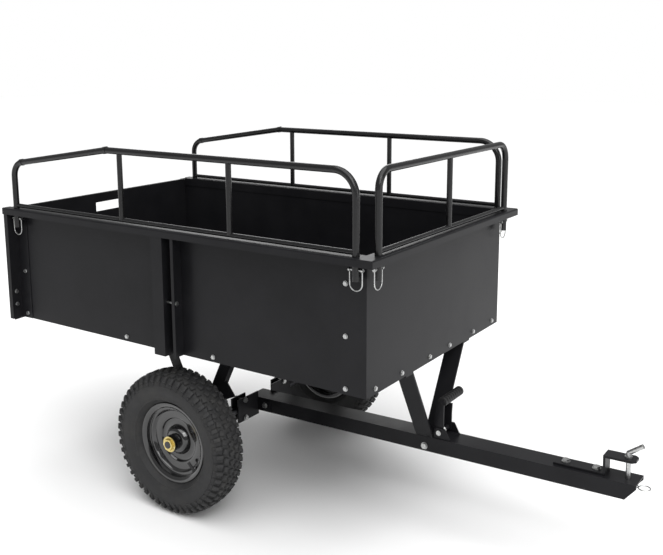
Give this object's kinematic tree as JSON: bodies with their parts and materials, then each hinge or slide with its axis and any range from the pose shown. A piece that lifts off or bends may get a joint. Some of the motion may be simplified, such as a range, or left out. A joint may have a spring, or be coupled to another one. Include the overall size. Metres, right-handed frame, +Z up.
{
  "type": "tow behind cart",
  "caption": "Steel dump cart with a channel drawbar and pin hitch, pneumatic wheels, a tilting tub with lift-off tube rails, a sliding tailgate and a foot latch.",
  "frame": {"origin": "centre of the cart's length and width on the ground plane, with the wheels standing on it", "axes": "+X forward along the drawbar to the hitch, +Y to the cart's left, +Z up"},
  "size_m": [1.8462, 0.8476, 1.012],
  "materials": {
    "powder_coat": "semi-gloss black powder coat",
    "rail_coat": "gloss black powder coat",
    "wheel_gloss": "gloss black enamel",
    "zinc": "bright zinc plate",
    "yellow_zinc": "yellow zinc plate",
    "bare_steel": "oiled bare steel",
    "tyre_rubber": "dusty dark grey rubber",
    "grip_rubber": "matt black ribbed rubber",
    "valve_rubber": "black rubber",
    "bush_plastic": "natural nylon"
  },
  "bodies": {
    "chassis": {"tongue": "powder_coat", "axle": "bare_steel", "axle_clamps": "powder_coat", "axle_clamp_bolts": "zinc", "latch_base": "powder_coat", "latch_cross_bolt": "zinc", "pedal_pivot_pin": "zinc", "pedal_spring": "zinc", "hitch_strap": "powder_coat", "hitch_strap_bolts": "zinc", "hub_nuts": "yellow_zinc", "hub_washers": "yellow_zinc"},
    "wheel_left": {"tyre_left": "tyre_rubber", "wheel_disc_left": "wheel_gloss", "hub_bushes_left": "bush_plastic", "valve_left": "valve_rubber"},
    "wheel_right": {"tyre_right": "tyre_rubber", "wheel_disc_right": "wheel_gloss", "hub_bushes_right": "bush_plastic", "valve_right": "valve_rubber"},
    "pedal": {"pedal_lever": "powder_coat", "pedal_grip": "grip_rubber"},
    "hitch_pin": {"hitch_pin": "zinc"},
    "r_clip": {"r_clip": "zinc"},
    "tailgate": {"tailgate": "powder_coat"},
    "lock_bail_rear_left": {"lock_bail_rear_left": "zinc"},
    "lock_bail_rear_right": {"lock_bail_rear_right": "zinc"},
    "lock_bail_side_left": {"lock_bail_side_left": "zinc"},
    "lock_bail_side_right": {"lock_bail_side_right": "zinc"},
    "lock_bail_front_left": {"lock_bail_front_left": "zinc"},
    "lock_bail_front_right": {"lock_bail_front_right": "zinc"},
    "tub": {"side_panel_rear_left": "powder_coat", "side_panel_front_left": "powder_coat", "side_panel_rear_right": "powder_coat", "side_panel_front_right": "powder_coat", "front_panel": "powder_coat", "floor_rear": "powder_coat", "floor_front": "powder_coat", "rim_left": "powder_coat", "rim_right": "powder_coat", "rim_front": "powder_coat", "mid_post_left": "powder_coat", "mid_post_right": "powder_coat", "rear_post_left": "powder_coat", "rear_post_right": "powder_coat", "gate_guides": "powder_coat", "gate_brackets": "powder_coat", "underframe_rails": "powder_coat", "cross_members": "powder_coat", "hangers": "powder_coat", "hanger_legs": "powder_coat", "hanger_bushes": "bare_steel", "v_bracket": "powder_coat", "side_rail_left": "rail_coat", "side_rail_right": "rail_coat", "front_rail": "rail_coat", "lock_pins": "zinc", "tub_bolts": "zinc", "tub_nuts": "zinc"}
  },
  "joints": [
    {"name": "dump", "type": "hinge", "parent": "chassis", "child": "tub", "pos_m": [-0.26214, 0, 0.203], "axis": [0, -1, 0], "range_deg": [0, 36]},
    {"name": "wheel_left_turn", "type": "hinge", "parent": "chassis", "child": "wheel_left", "pos_m": [-0.26214, 0.372, 0.203], "axis": [0, 1, 0], "continuous": true},
    {"name": "wheel_right_turn", "type": "hinge", "parent": "chassis", "child": "wheel_right", "pos_m": [-0.26214, -0.372, 0.203], "axis": [0, 1, 0], "continuous": true},
    {"name": "pedal_press", "type": "hinge", "parent": "chassis", "child": "pedal", "pos_m": [0.37001, 0, 0.25025], "axis": [0, 1, 0], "range_deg": [0, 25], "stiffness_Nm_per_rad": 1.5, "springref_deg": -22.92},
    {"name": "tailgate_lift", "type": "slide", "parent": "tub", "child": "tailgate", "axis": [0, 0, 1], "range_m": [0, 0.34]},
    {"name": "hitch_pin_turn", "type": "hinge", "parent": "chassis", "child": "hitch_pin", "pos_m": [0.86735, 0, 0.28667], "axis": [-0.0209, 0, 0.9998], "range_deg": [-18, 12]},
    {"name": "r_clip_pull", "type": "slide", "parent": "hitch_pin", "child": "r_clip", "axis": [0.9998, 0, 0.0209], "range_m": [0, 0.04]},
    {"name": "lock_bail_rear_left_swing", "type": "hinge", "parent": "tub", "child": "lock_bail_rear_left", "pos_m": [-0.87514, 0.395, 0.7725], "axis": [1, 0, 0], "range_deg": [0, 90]},
    {"name": "lock_bail_rear_right_swing", "type": "hinge", "parent": "tub", "child": "lock_bail_rear_right", "pos_m": [-0.87514, -0.395, 0.7725], "axis": [-1, 0, 0], "range_deg": [0, 90]},
    {"name": "lock_bail_side_left_swing", "type": "hinge", "parent": "tub", "child": "lock_bail_side_left", "pos_m": [0.33486, 0.395, 0.7725], "axis": [1, 0, 0], "range_deg": [0, 90]},
    {"name": "lock_bail_side_right_swing", "type": "hinge", "parent": "tub", "child": "lock_bail_side_right", "pos_m": [0.33486, -0.395, 0.7725], "axis": [-1, 0, 0], "range_deg": [0, 90]},
    {"name": "lock_bail_front_left_swing", "type": "hinge", "parent": "tub", "child": "lock_bail_front_left", "pos_m": [0.37186, 0.357, 0.7725], "axis": [0, -1, 0], "range_deg": [0, 90]},
    {"name": "lock_bail_front_right_swing", "type": "hinge", "parent": "tub", "child": "lock_bail_front_right", "pos_m": [0.37186, -0.357, 0.7725], "axis": [0, -1, 0], "range_deg": [0, 90]}
  ]
}
